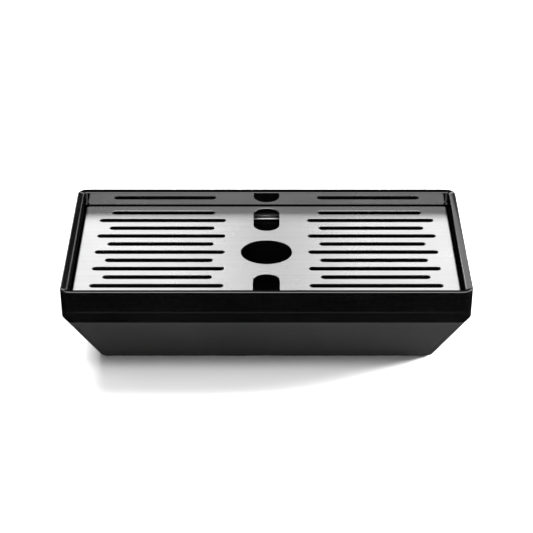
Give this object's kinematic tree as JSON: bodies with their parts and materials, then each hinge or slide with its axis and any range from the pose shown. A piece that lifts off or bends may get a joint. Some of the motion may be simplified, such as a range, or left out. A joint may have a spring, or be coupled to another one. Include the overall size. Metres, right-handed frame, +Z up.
{
  "type": "drip tray",
  "caption": "Countertop drip tray for a beer dispenser: slotted steel grille in a lift-out pan, held in a sloping two-tone housing.",
  "frame": {"origin": "centre of the footprint, on the worktop", "axes": "+X along the width to the right, -Y towards the user, +Z up"},
  "size_m": [0.3, 0.17, 0.069],
  "materials": {
    "steel_grille": "brushed",
    "pan_gloss": "gloss",
    "collar_gloss": "gloss",
    "tub_satin": "satin",
    "seal_rubber": "matt",
    "pad_rubber": "matt",
    "foot_rubber": "matt",
    "screw_steel": "zinc plated"
  },
  "bodies": {
    "housing": {"housing_tub": "tub_satin", "housing_collar": "collar_gloss", "collar_gasket": "seal_rubber", "rim_seal": "seal_rubber", "collar_screw_1": "screw_steel", "collar_screw_2": "screw_steel", "collar_screw_3": "screw_steel", "collar_screw_4": "screw_steel", "collar_screw_5": "screw_steel", "collar_screw_6": "screw_steel", "collar_screw_7": "screw_steel", "collar_screw_8": "screw_steel", "foot_1": "foot_rubber", "foot_2": "foot_rubber", "foot_3": "foot_rubber", "foot_4": "foot_rubber", "foot_screw_1": "screw_steel", "foot_screw_2": "screw_steel", "foot_screw_3": "screw_steel", "foot_screw_4": "screw_steel"},
    "pan": {"drip_pan": "pan_gloss"},
    "grille": {"grille_plate": "steel_grille", "grille_pad_1": "pad_rubber", "grille_pad_2": "pad_rubber", "grille_pad_3": "pad_rubber", "grille_pad_4": "pad_rubber", "grille_pad_5": "pad_rubber", "grille_pad_6": "pad_rubber", "grille_pad_7": "pad_rubber", "grille_pad_8": "pad_rubber"}
  },
  "joints": [
    {"name": "pan_lift", "type": "slide", "parent": "housing", "child": "pan", "axis": [0, 0, 1], "range_m": [0, 0.1]},
    {"name": "grille_lift", "type": "slide", "parent": "pan", "child": "grille", "axis": [0, 0, 1], "range_m": [0, 0.06]}
  ]
}
